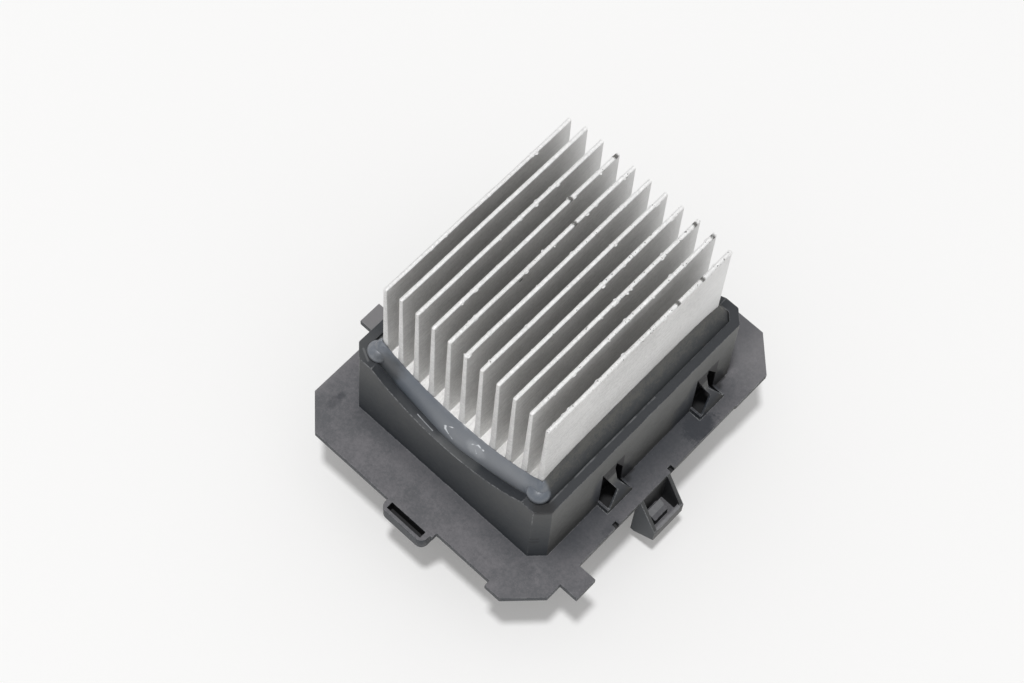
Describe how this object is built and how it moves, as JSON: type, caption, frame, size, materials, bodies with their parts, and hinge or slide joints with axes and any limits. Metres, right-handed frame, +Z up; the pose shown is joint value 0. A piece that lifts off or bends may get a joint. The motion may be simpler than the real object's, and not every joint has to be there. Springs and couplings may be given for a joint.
{
  "type": "blower motor resistor",
  "caption": "Electronic blower speed module: a finned aluminium heat sink potted into a flanged carrier with a slotted loop, snap lugs, a latch bracket and two plug sockets below.",
  "frame": {"origin": "centre of the collar on the flange's upper face, which seats against the duct around its opening", "axes": "+Z up the fins into the duct, +Y along the fins away from the slotted loop, +X towards the latch bracket"},
  "size_m": [0.0724, 0.0814, 0.0717],
  "materials": {
    "carrier": "black glass-filled plastic, dusty",
    "sink": "extruded, dull, with worn fin edges",
    "resin": "cast potting resin, glossy, wrinkled",
    "board": "green solder mask on glass laminate",
    "pad": "grey silicone pad",
    "package": "moulded semiconductor package",
    "steel": "zinc plated",
    "spacer": "turned hexagon bar",
    "contact": "tin plated brass",
    "alloy": "copper manganese strip",
    "can": "sleeved aluminium can",
    "bead": "dipped bead",
    "chip": "thick film on ceramic",
    "chip_tan": "multilayer ceramic"
  },
  "bodies": {
    "root": {"housing": "carrier", "heat_sink": "sink", "potting": "resin", "circuit_board": "board", "left_insulating_pad": "pad", "right_insulating_pad": "pad", "left_power_transistor": "package", "right_power_transistor": "package", "transistor_screws": "steel", "board_spacers": "spacer", "board_screws": "steel", "battery_blade": "contact", "ground_blade": "contact", "motor_supply_blade": "contact", "motor_return_blade": "contact", "control_pin": "contact", "sense_pin": "contact", "diagnostic_pin": "contact", "shunt_resistor": "alloy", "electrolytic_capacitor": "can", "suppressor_diode": "package", "driver_chip": "package", "thermistor": "bead", "chip_resistors": "chip", "chip_capacitors": "chip_tan"}
  },
  "joints": []
}
